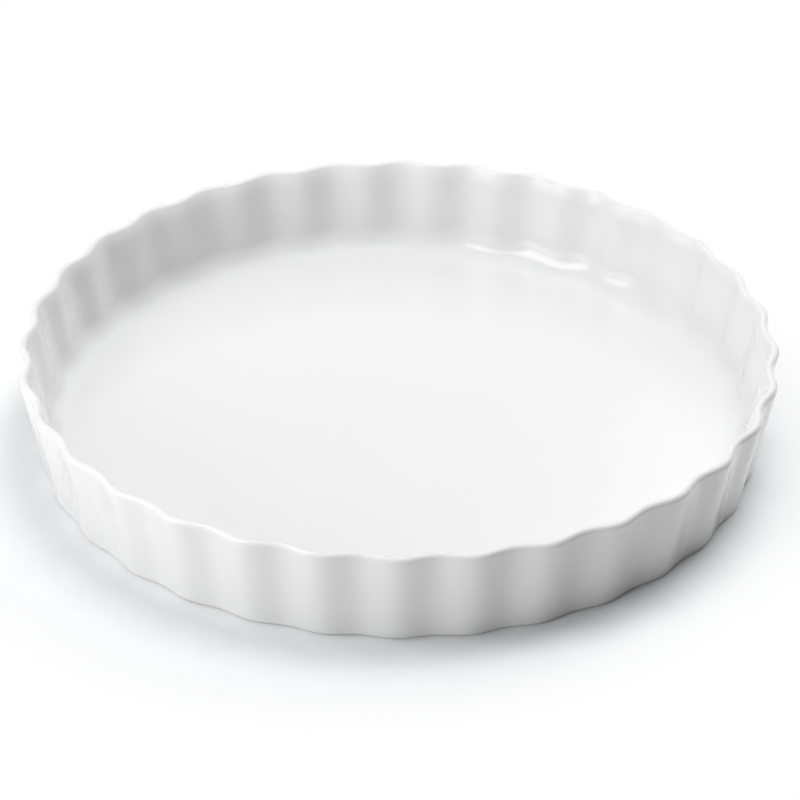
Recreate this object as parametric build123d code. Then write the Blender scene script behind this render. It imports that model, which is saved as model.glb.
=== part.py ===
from build123d import *
from collections import namedtuple
import math
import os

# Fluted quiche dish, one piece of fired and glazed porcelain. Lengths in mm.
# It stands on z = 0 with its axis on Z, and one flute has its crest on +X.

# Outside of the wall, which leans out evenly from the foot to the lip
height = 40.0
foot_radius = 137.4            # level with the table, halfway from crest to hollow
rim_radius = 145.0             # level with the top of the lip, halfway likewise

# Flutes, deepest at the lip and softer towards the foot
flute_count = 32
rim_flute_depth = 2.7          # from crest to hollow
foot_flute_depth = 1.6
inner_rim_flute_depth = 2.5    # the inside follows the outside a little softer
inner_foot_flute_depth = 1.3

# Thickness of the ware
wall = 4.2                     # measured level
floor_thickness = 4.3
lip_share = 0.8                # of the wall's thickness, in the full round of the lip

# Rounded edges, and the number of straight steps that each is built in
foot_edge_radius = 1.5         # outside, from the foot into the wall
foot_edge_steps = 3
lip_side_steps = 3
lip_roll_radius = 20.0         # inside, a slow roll from the wall out to the thin lip
lip_roll_steps = 2
corner_radius = 11.0           # inside, from the wall into the floor
corner_steps = 5

# Foot ring, left standing by a shallow hollow under the floor
foot_ring_width = 6.0
foot_ring_height = 1.2

# How far a cutting form runs past the face that it opens
overrun = 5.0

# Sizes that follow from those above
draft = math.atan2(rim_radius - foot_radius, height)
wall_thickness = wall * math.cos(draft)
lip_radius = lip_share * wall_thickness / 2
floor_top = foot_ring_height + floor_thickness

# One level outline of the dish: its height, middle radius and flute depth
Ring = namedtuple("Ring", "z radius depth")


def between(foot_value, rim_value, z):
    """A size of the wall at one height, on the straight line from foot to rim."""
    return foot_value + (rim_value - foot_value) * z / height


def arc_points(centre_radius, centre_z, radius, start, end, steps):
    """Points (radius, z) along an arc of the dish's section, first and last included."""
    for step in range(steps + 1):
        angle = start + (end - start) * step / steps
        yield (centre_radius + radius * math.cos(angle),
               centre_z + radius * math.sin(angle))


def outer_depth(z):
    return between(foot_flute_depth, rim_flute_depth, z)


def inner_depth(z):
    return between(inner_foot_flute_depth, inner_rim_flute_depth, z)


def foot_edge_rings():
    """From the foot ring's flat face round into the outside of the wall."""
    centre = (between(foot_radius, rim_radius, foot_edge_radius)
              - foot_edge_radius / math.cos(draft))
    points = arc_points(centre, foot_edge_radius, foot_edge_radius,
                        -math.pi / 2, -draft, foot_edge_steps)
    return [Ring(z, radius, outer_depth(z)) for radius, z in points]


def lip_rings():
    """Up over the lip, from the outside of the wall to the inside, and down its roll.

    The roll turns just as far as takes up the difference between the wall's thickness
    and the lip's, and it runs on from the lip's round without an edge.
    """
    centre_z = height - lip_radius
    centre = between(foot_radius, rim_radius, centre_z) - lip_radius / math.cos(draft)
    extra_radius = lip_roll_radius - lip_radius
    extra_thickness = wall_thickness - 2 * lip_radius
    roll_start = math.pi - draft - math.acos(1 - extra_thickness / extra_radius)
    up = arc_points(centre, centre_z, lip_radius, -draft, math.pi / 2, lip_side_steps)
    down = arc_points(centre, centre_z, lip_radius,
                      math.pi / 2, roll_start, lip_side_steps)
    roll = arc_points(centre - extra_radius * math.cos(roll_start),
                      centre_z - extra_radius * math.sin(roll_start),
                      lip_roll_radius, roll_start, math.pi - draft, lip_roll_steps)
    points = list(up) + list(down)[1:]
    rings = []
    for place, (radius, z) in enumerate(points):
        crossed = place / (len(points) - 1)
        depth = outer_depth(z) * (1 - crossed) + inner_depth(z) * crossed
        rings.append(Ring(z, radius, depth))
    rings += [Ring(z, radius, inner_depth(z)) for radius, z in list(roll)[1:]]
    return rings


def corner_rings():
    """From the inside of the wall round into the flat floor, where the flutes end."""
    centre_z = floor_top + corner_radius
    centre = (between(foot_radius, rim_radius, centre_z) - wall
              - corner_radius / math.cos(draft))
    points = list(arc_points(centre, centre_z, corner_radius,
                             -draft, -math.pi / 2, corner_steps))
    start_depth = inner_depth(points[0][1])
    return [Ring(z, radius, start_depth * (1 - place / corner_steps))
            for place, (radius, z) in enumerate(points)]


def fluted_outline(ring):
    """A level outline with an arc for the crest and the hollow of each flute.

    Neighbouring arcs are tangent, because they meet at the geometric mean of the
    crest's and the hollow's radius.
    """
    crest_radius = ring.radius + ring.depth / 2
    hollow_radius = ring.radius - ring.depth / 2
    crest = Vector(crest_radius, 0, ring.z)
    hollow = Vector(hollow_radius, 0, ring.z)
    meeting = Vector(math.sqrt(crest_radius * hollow_radius), 0, ring.z)
    pitch = 360 / flute_count
    arcs = []
    for flute in range(flute_count):
        middle = flute * pitch
        before, after, beyond = (
            meeting.rotate(Axis.Z, middle + quarters * pitch / 4) for quarters in (-1, 1, 3))
        arcs.append(ThreePointArc(before, crest.rotate(Axis.Z, middle), after))
        arcs.append(ThreePointArc(after, hollow.rotate(Axis.Z, middle + pitch / 2), beyond))
    return Wire(arcs)


def foot_hollow():
    """The shallow hollow inside the foot ring, with a side that slopes at 45 degrees."""
    foot_flat_radius = foot_edge_rings()[0].radius - foot_flute_depth / 2
    mouth = foot_flat_radius - foot_ring_width
    return Solid.make_cone(mouth + overrun, mouth - foot_ring_height,
                           foot_ring_height + overrun, Plane.XY.offset(-overrun))


def dish_body():
    """The ware: outlines ruled one to the next up the outside, over the lip and down."""
    rings = foot_edge_rings() + lip_rings() + corner_rings()
    ware = Solid.make_loft([fluted_outline(ring) for ring in rings], ruled=True)
    return ware - foot_hollow()


os.makedirs("parts", exist_ok=True)
export_step(dish_body(), "parts/dish_body.step")
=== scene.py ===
import math

import bpy
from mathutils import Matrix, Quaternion, Vector


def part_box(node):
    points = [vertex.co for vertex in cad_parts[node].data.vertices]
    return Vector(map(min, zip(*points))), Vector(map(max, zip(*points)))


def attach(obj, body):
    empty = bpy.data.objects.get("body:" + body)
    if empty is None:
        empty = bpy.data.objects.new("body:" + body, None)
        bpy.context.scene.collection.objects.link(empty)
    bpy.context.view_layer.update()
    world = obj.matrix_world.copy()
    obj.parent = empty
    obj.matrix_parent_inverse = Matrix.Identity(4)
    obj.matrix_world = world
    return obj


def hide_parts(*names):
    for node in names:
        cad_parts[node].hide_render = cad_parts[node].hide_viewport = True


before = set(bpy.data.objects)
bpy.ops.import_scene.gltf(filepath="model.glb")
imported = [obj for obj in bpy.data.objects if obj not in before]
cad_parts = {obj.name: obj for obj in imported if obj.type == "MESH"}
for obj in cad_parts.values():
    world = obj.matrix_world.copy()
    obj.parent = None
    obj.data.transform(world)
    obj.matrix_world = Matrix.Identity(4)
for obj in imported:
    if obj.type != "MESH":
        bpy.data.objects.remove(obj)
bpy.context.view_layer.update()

scene = bpy.context.scene

# The camera stands some 1.6 m from the dish and looks down at its middle through a
# long lens, a little out of level, as it would on a tripod beside a table.
mm = 0.001
image_width = 800
focal_pixels = 4135.8
sensor_width = 36.0
look_down = math.radians(32.38)
camera_roll = math.radians(0.444)
camera_distance = 1625.7 * mm
aim_point = Vector((0.6 * mm, 23.1 * mm, 0))

view_direction = Vector((0, math.cos(look_down), -math.sin(look_down)))
camera = bpy.data.objects.new("camera", bpy.data.cameras.new("camera"))
camera.data.sensor_width = sensor_width
camera.data.lens = sensor_width * focal_pixels / image_width
camera.location = aim_point - view_direction * camera_distance
camera.rotation_mode = "QUATERNION"
camera.rotation_quaternion = (view_direction.to_track_quat("-Z", "Y")
                              @ Quaternion((0, 0, 1), camera_roll))
scene.collection.objects.link(camera)
scene.camera = camera

# The dish is one piece of white porcelain, pressed in a mould, fired and glazed.
# Its wall is pressed into 32 flutes, which are deepest at the full rounded lip and
# fade out in the round corner above the flat floor.
cad_low, cad_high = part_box("dish_body")
height = cad_high.z
flute_count = 32
foot_radius = 137.4 * mm        # at the height of the table, halfway from crest to hollow
rim_radius = 145.0 * mm         # at the height of the lip, halfway likewise
foot_flute_depth = 1.6 * mm     # from crest to hollow
rim_flute_depth = 2.7 * mm
inner_foot_flute_depth = 1.3 * mm
inner_rim_flute_depth = 2.5 * mm
wall = 4.2 * mm                 # measured level
lip_share = 0.8                 # of the wall's thickness, in the full round of the lip
lip_roll_radius = 20.0 * mm     # inside, from the wall out to the thinner lip
floor_thickness = 4.3 * mm
foot_edge_radius = 1.5 * mm     # outside, from the foot into the wall
corner_radius = 11.0 * mm       # inside, from the wall into the floor
foot_ring_width = 6.0 * mm
foot_ring_height = 1.2 * mm
ring_edge_radius = 0.4 * mm     # where the foot ring's slope meets its face and the hollow
draft = math.atan2(rim_radius - foot_radius, height)
wall_thickness = wall * math.cos(draft)
lip_radius = lip_share * wall_thickness / 2
floor_top = foot_ring_height + floor_thickness

# the steps that each part of the dish's section is drawn in
steps_per_flute = 20
underside_steps = 12
ring_edge_steps = 3
foot_ring_steps = 6
foot_edge_steps = 6
outer_wall_steps = 20
lip_steps = 16
lip_roll_steps = 6
inner_wall_steps = 14
corner_steps = 18
floor_steps = 16


def between(foot_value, rim_value, z):
    """A size of the wall at one height, on the straight line from foot to rim."""
    return foot_value + (rim_value - foot_value) * z / height


def arc(centre_radius, centre_z, radius, start, end, steps):
    """Points (radius, z) along an arc of the dish's section."""
    angles = (start + (end - start) * step / steps for step in range(steps + 1))
    return [(centre_radius + radius * math.cos(angle), centre_z + radius * math.sin(angle))
            for angle in angles]


def run(start, end, steps):
    """Points (radius, z) between two others, which are left out."""
    return [tuple(a + (b - a) * step / steps for a, b in zip(start, end))
            for step in range(1, steps)]


def dish_section():
    """The dish's section from under its middle round to the middle of its floor.

    Each point has its radius, its height and the depth of the flutes there.
    """
    quarter = math.pi / 2
    edge_centre = (between(foot_radius, rim_radius, foot_edge_radius)
                   - foot_edge_radius / math.cos(draft))
    ring_flat_end = edge_centre - foot_flute_depth / 2 - foot_ring_width
    hollow_side = quarter / 2
    ring_edge = arc(ring_flat_end, ring_edge_radius, ring_edge_radius,
                    -quarter, -quarter - hollow_side, ring_edge_steps)
    hollow_edge = arc(ring_flat_end - foot_ring_height, foot_ring_height - ring_edge_radius,
                      ring_edge_radius, quarter - hollow_side, quarter, ring_edge_steps)
    underside = (run((0, foot_ring_height), hollow_edge[-1], underside_steps)
                 + hollow_edge[::-1] + ring_edge[::-1]
                 + run(ring_edge[0], (edge_centre, 0), foot_ring_steps))

    foot_edge = arc(edge_centre, foot_edge_radius, foot_edge_radius,
                    -quarter, -draft, foot_edge_steps)
    lip_z = height - lip_radius
    lip_centre = between(foot_radius, rim_radius, lip_z) - lip_radius / math.cos(draft)
    extra_radius = lip_roll_radius - lip_radius
    extra_thickness = wall_thickness - 2 * lip_radius
    roll_start = math.pi - draft - math.acos(1 - extra_thickness / extra_radius)
    lip = arc(lip_centre, lip_z, lip_radius, -draft, roll_start, lip_steps)
    roll = arc(lip_centre - extra_radius * math.cos(roll_start),
               lip_z - extra_radius * math.sin(roll_start),
               lip_roll_radius, roll_start, math.pi - draft, lip_roll_steps)
    corner_z = floor_top + corner_radius
    corner_centre = (between(foot_radius, rim_radius, corner_z) - wall
                     - corner_radius / math.cos(draft))
    corner = arc(corner_centre, corner_z, corner_radius, -draft, -quarter, corner_steps)
    outside = foot_edge + run(foot_edge[-1], lip[0], outer_wall_steps)
    inside = roll[1:] + run(roll[-1], corner[0], inner_wall_steps)

    # the flutes of the two sides of the wall run into each other over the lip, and those
    # of the inside fade out in the corner
    section = [(radius, z, 0) for radius, z in underside]
    section += [(radius, z, between(foot_flute_depth, rim_flute_depth, z))
                for radius, z in outside]
    for place, (radius, z) in enumerate(lip):
        crossed = place / (len(lip) - 1)
        outer = between(foot_flute_depth, rim_flute_depth, z)
        inner = between(inner_foot_flute_depth, inner_rim_flute_depth, z)
        section.append((radius, z, outer * (1 - crossed) + inner * crossed))
    section += [(radius, z, between(inner_foot_flute_depth, inner_rim_flute_depth, z))
                for radius, z in inside]
    corner_depth = between(inner_foot_flute_depth, inner_rim_flute_depth, corner[0][1])
    for place, (radius, z) in enumerate(corner):
        kept = 1 - place / (len(corner) - 1)
        section.append((radius, z, corner_depth * kept))
    section += [(radius, z, 0) for radius, z in run(corner[-1], (0, floor_top), floor_steps)]
    return section


def turned_mesh(name, section, around):
    """A closed mesh of level rings, one for each point of the section, with its flutes."""
    points = [(0, 0, section[0][1])]
    for radius, z, depth in section:
        for step in range(around):
            angle = 2 * math.pi * step / around
            reach = radius + depth / 2 * math.cos(flute_count * angle)
            points.append((reach * math.cos(angle), reach * math.sin(angle), z))
    points.append((0, 0, section[-1][1]))

    def corner_of(ring, step):
        return 1 + ring * around + step % around

    last = len(section) - 1
    faces = [(0, corner_of(0, step + 1), corner_of(0, step)) for step in range(around)]
    for ring in range(last):
        for step in range(around):
            faces.append((corner_of(ring, step), corner_of(ring, step + 1),
                          corner_of(ring + 1, step + 1), corner_of(ring + 1, step)))
    faces += [(len(points) - 1, corner_of(last, step), corner_of(last, step + 1))
              for step in range(around)]
    mesh = bpy.data.meshes.new(name)
    mesh.from_pydata(points, [], faces)
    mesh.shade_smooth()
    return mesh


def fitted(section):
    """The section, drawn in until the widest crest just reaches the dish_body part's box."""
    widest = max(radius + depth / 2 for radius, z, depth in section)
    share = min(1, cad_high.x / widest)
    return [(radius * share, z, depth * share) for radius, z, depth in section]


dish = bpy.data.objects.new("dish", turned_mesh("dish", fitted(dish_section()),
                                                flute_count * steps_per_flute))
scene.collection.objects.link(dish)


def glaze_material():
    """White porcelain under a clear gloss glaze, bare where it stood in the kiln."""
    body_shade = (0.848, 0.848, 0.847)
    body_white = (0.872, 0.872, 0.872)
    pooled_glaze = (0.846, 0.848, 0.850)
    thin_glaze = (0.868, 0.866, 0.860)
    bare_shade = (0.74, 0.72, 0.68)
    bare_white = (0.84, 0.82, 0.79)
    glaze_index = 1.5
    thin_lip = 1.6 * mm             # how far down from the top of the lip the glaze is thin
    pool_start = 22 * mm            # in from the foot's outline, over the dish's floor
    pool_end = 8 * mm

    material = bpy.data.materials.new("glazed_porcelain")
    material.use_nodes = True
    nodes = material.node_tree.nodes
    links = material.node_tree.links
    shader = nodes["Principled BSDF"]

    def add(kind, **inputs):
        """A new node with its inputs set to a value, or linked to another's output."""
        fresh = nodes.new(kind)
        for key, value in inputs.items():
            socket = fresh.inputs[key.replace("_", " ")]
            if isinstance(value, bpy.types.NodeSocket):
                links.new(value, socket)
            else:
                socket.default_value = value
        return fresh

    def noise(size, detail):
        """Soft irregular values about one half, with patches of roughly one size."""
        made = add("ShaderNodeTexNoise", Vector=place, Scale=1 / size, Detail=detail)
        return made.outputs["Fac"]

    def ramp(value, start, end, low_value, high_value):
        """A smooth change from one value to another as the input passes a range."""
        made = add("ShaderNodeMapRange", Value=value)
        made.interpolation_type = "SMOOTHSTEP"
        for socket, number in zip(made.inputs[1:5], (start, end, low_value, high_value)):
            socket.default_value = number
        return made.outputs["Result"]

    def maths(operation, first, second):
        made = nodes.new("ShaderNodeMath")
        made.operation = operation
        for socket, value in zip(made.inputs, (first, second)):
            if isinstance(value, bpy.types.NodeSocket):
                links.new(value, socket)
            else:
                socket.default_value = value
        return made.outputs[0]

    def blended(share, first, second):
        """A colour between two others, each given as a colour or as an output."""
        made = nodes.new("ShaderNodeMix")
        made.data_type = "RGBA"
        links.new(share, made.inputs[0])
        for socket, value in zip(made.inputs[6:8], (first, second)):
            if isinstance(value, bpy.types.NodeSocket):
                links.new(value, socket)
            else:
                socket.default_value = (*value, 1)
        return made.outputs[2]

    place = nodes.new("ShaderNodeTexCoord").outputs["Object"]
    apart = add("ShaderNodeSeparateXYZ", Vector=place).outputs
    level = add("ShaderNodeCombineXYZ", X=apart["X"], Y=apart["Y"]).outputs[0]
    reach = nodes.new("ShaderNodeVectorMath")
    reach.operation = "LENGTH"
    links.new(level, reach.inputs[0])
    reach = reach.outputs["Value"]

    # the glaze is thick in the round corner, thin over the lip and wiped off the foot
    uneven = maths("MULTIPLY", noise(size=4 * mm, detail=2.0), 0.25 * mm)
    glaze_line = maths("ADD", apart["Z"], uneven)
    bare = ramp(glaze_line, start=0.35 * mm, end=0.55 * mm, low_value=1.0, high_value=0.0)
    low_down = ramp(apart["Z"], start=floor_top, end=floor_top + corner_radius,
                    low_value=1.0, high_value=0.0)
    far_out = ramp(reach, start=foot_radius - pool_start, end=foot_radius - pool_end,
                   low_value=0.0, high_value=1.0)
    pooled = maths("MULTIPLY", low_down, far_out)
    thin = ramp(apart["Z"], start=height - thin_lip, end=height, low_value=0.0, high_value=0.7)

    body = blended(noise(size=60 * mm, detail=3.0), body_shade, body_white)
    body = blended(pooled, body, pooled_glaze)
    body = blended(thin, body, thin_glaze)
    grain = blended(noise(size=0.5 * mm, detail=4.0), bare_shade, bare_white)
    links.new(blended(bare, body, grain), shader.inputs["Base Color"])

    gloss = ramp(noise(size=18 * mm, detail=3.0), start=0.3, end=0.7,
                 low_value=0.20, high_value=0.26)
    rough = maths("MAXIMUM", gloss, maths("MULTIPLY", bare, 0.8))
    links.new(rough, shader.inputs["Roughness"])
    links.new(maths("SUBTRACT", 1.0, bare), shader.inputs["Coat Weight"])
    shader.inputs["Coat Roughness"].default_value = 0.16
    shader.inputs["Coat IOR"].default_value = glaze_index
    shader.inputs["IOR"].default_value = glaze_index
    shader.inputs["Specular IOR Level"].default_value = 0.2

    # the skin of the glaze swells and sinks a little, like the peel of an orange
    swell = maths("MULTIPLY", noise(size=12 * mm, detail=1.5), 0.025 * mm)
    peel = maths("MULTIPLY", noise(size=1.6 * mm, detail=2.0), 0.004 * mm)
    tooth = maths("MULTIPLY", noise(size=0.35 * mm, detail=4.0), 0.05 * mm)
    skin = maths("ADD", maths("ADD", swell, peel), maths("MULTIPLY", tooth, bare))
    bump = add("ShaderNodeBump", Strength=1.0, Distance=1.0, Height=skin)
    links.new(bump.outputs["Normal"], shader.inputs["Normal"])
    links.new(bump.outputs["Normal"], shader.inputs["Coat Normal"])
    return material


dish.data.materials.append(glaze_material())
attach(dish, "root")
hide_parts("dish_body")

# The table is a plain sheet of white paper, which lies flat and runs far past the picture. It
# keeps the dish's soft shadow near the dish; further out it fades into a plain white glow,
# painted light that lifts the outer part of the shadow.
half_table = 3.0
near_white = (0.94, 0.95, 0.965, 1)
light_white = (0.78, 0.78, 0.78, 1)     # what it gives back to the dish as light
shadow_middle = (-15 * mm, -5 * mm, 0)
shadow_start = 140 * mm                 # from there it fades out
shadow_end = 195 * mm
table_mesh = bpy.data.meshes.new("table")
table_mesh.from_pydata([(-half_table, -half_table, 0), (half_table, -half_table, 0),
                        (half_table, half_table, 0), (-half_table, half_table, 0)],
                       [], [(0, 1, 2, 3)])
table = bpy.data.objects.new("table", table_mesh)
scene.collection.objects.link(table)


def seen_or_unseen(tree, seen, unseen, output):
    """One shader where the camera and reflections look, another for the light's own paths."""
    path = tree.nodes.new("ShaderNodeLightPath")
    either = path.outputs["Is Camera Ray"]
    for other in ("Is Glossy Ray", "Is Transmission Ray"):
        most = tree.nodes.new("ShaderNodeMath")
        most.operation = "MAXIMUM"
        tree.links.new(either, most.inputs[0])
        tree.links.new(path.outputs[other], most.inputs[1])
        either = most.outputs[0]
    mix = tree.nodes.new("ShaderNodeMixShader")
    tree.links.new(either, mix.inputs[0])
    tree.links.new(unseen.outputs[0], mix.inputs[1])
    tree.links.new(seen.outputs[0], mix.inputs[2])
    tree.links.new(mix.outputs[0], output.inputs[0])


table_material = bpy.data.materials.new("white_sheet")
table_material.use_nodes = True
nodes = table_material.node_tree.nodes
links = table_material.node_tree.links
nodes.clear()
sheet = nodes.new("ShaderNodeBsdfDiffuse")
sheet.inputs["Color"].default_value = near_white
white = nodes.new("ShaderNodeEmission")
white.inputs["Color"].default_value = (1, 1, 1, 1)
# the sheet turns from its lit colour into a white glow with distance from shadow_middle:
# painted light that fades the dish's shadow out
away = nodes.new("ShaderNodeVectorMath")
away.operation = "DISTANCE"
away.inputs[1].default_value = shadow_middle
fading = nodes.new("ShaderNodeMapRange")
fading.interpolation_type = "SMOOTHSTEP"
fading.inputs["From Min"].default_value = shadow_start
fading.inputs["From Max"].default_value = shadow_end
seen = nodes.new("ShaderNodeMixShader")
links.new(nodes.new("ShaderNodeTexCoord").outputs["Object"], away.inputs[0])
links.new(away.outputs["Value"], fading.inputs["Value"])
links.new(fading.outputs["Result"], seen.inputs[0])
links.new(sheet.outputs[0], seen.inputs[1])
links.new(white.outputs[0], seen.inputs[2])
unseen = nodes.new("ShaderNodeBsdfDiffuse")
unseen.inputs["Color"].default_value = light_white
seen_or_unseen(table_material.node_tree, seen, unseen, nodes.new("ShaderNodeOutputMaterial"))
table_mesh.materials.append(table_material)

# The room is a plain studio. It looks white, and its walls give only a trace of light:
# nearly all of it comes from the softboxes.
world = bpy.data.worlds.new("room")
scene.world = world
world.use_nodes = True
nodes = world.node_tree.nodes
nodes.clear()
backdrop = nodes.new("ShaderNodeBackground")
backdrop.inputs["Color"].default_value = (1, 1, 1, 1)
backdrop.inputs["Strength"].default_value = 1.0
fill = nodes.new("ShaderNodeBackground")
fill.inputs["Color"].default_value = (1, 1, 1, 1)
fill.inputs["Strength"].default_value = 0.02
seen_or_unseen(world.node_tree, backdrop, fill, nodes.new("ShaderNodeOutputWorld"))


def softbox(name, azimuth, elevation, distance, width, depth, power, mirrored=False):
    """A rectangular lamp in the room, turned to shine at the dish.

    The glaze mirrors only the lamps that it is asked to.
    """
    side = math.radians(azimuth)
    rise = math.radians(elevation)
    place = distance * Vector((math.cos(rise) * math.cos(side),
                               math.cos(rise) * math.sin(side), math.sin(rise)))
    lamp = bpy.data.lights.new(name, "AREA")
    lamp.shape = "RECTANGLE"
    lamp.size = width
    lamp.size_y = depth
    lamp.energy = power
    holder = bpy.data.objects.new(name, lamp)
    holder.location = place
    holder.rotation_mode = "QUATERNION"
    holder.rotation_quaternion = (-place).to_track_quat("-Z", "Y")
    holder.visible_camera = False
    holder.visible_glossy = mirrored
    scene.collection.objects.link(holder)


softbox("tall", azimuth=-162, elevation=54, distance=1.3,
        width=0.45, depth=0.9, power=4.6, mirrored=True)
softbox("side", azimuth=-158, elevation=14, distance=1.0,
        width=0.6, depth=0.5, power=1.2, mirrored=True)
softbox("key", azimuth=-135, elevation=19, distance=1.53,
        width=0.8, depth=0.8, power=8.2)
softbox("low", azimuth=-136, elevation=5, distance=2.0,
        width=0.8, depth=0.3, power=2.2)
softbox("right", azimuth=15, elevation=8, distance=1.54,
        width=0.8, depth=0.6, power=0.9)
softbox("low_back", azimuth=60, elevation=35, distance=1.58,
        width=0.8, depth=0.8, power=8.7)
softbox("overhead", azimuth=50, elevation=75, distance=1.6,
        width=0.9, depth=0.9, power=13.7)

scene.view_settings.view_transform = "Standard"
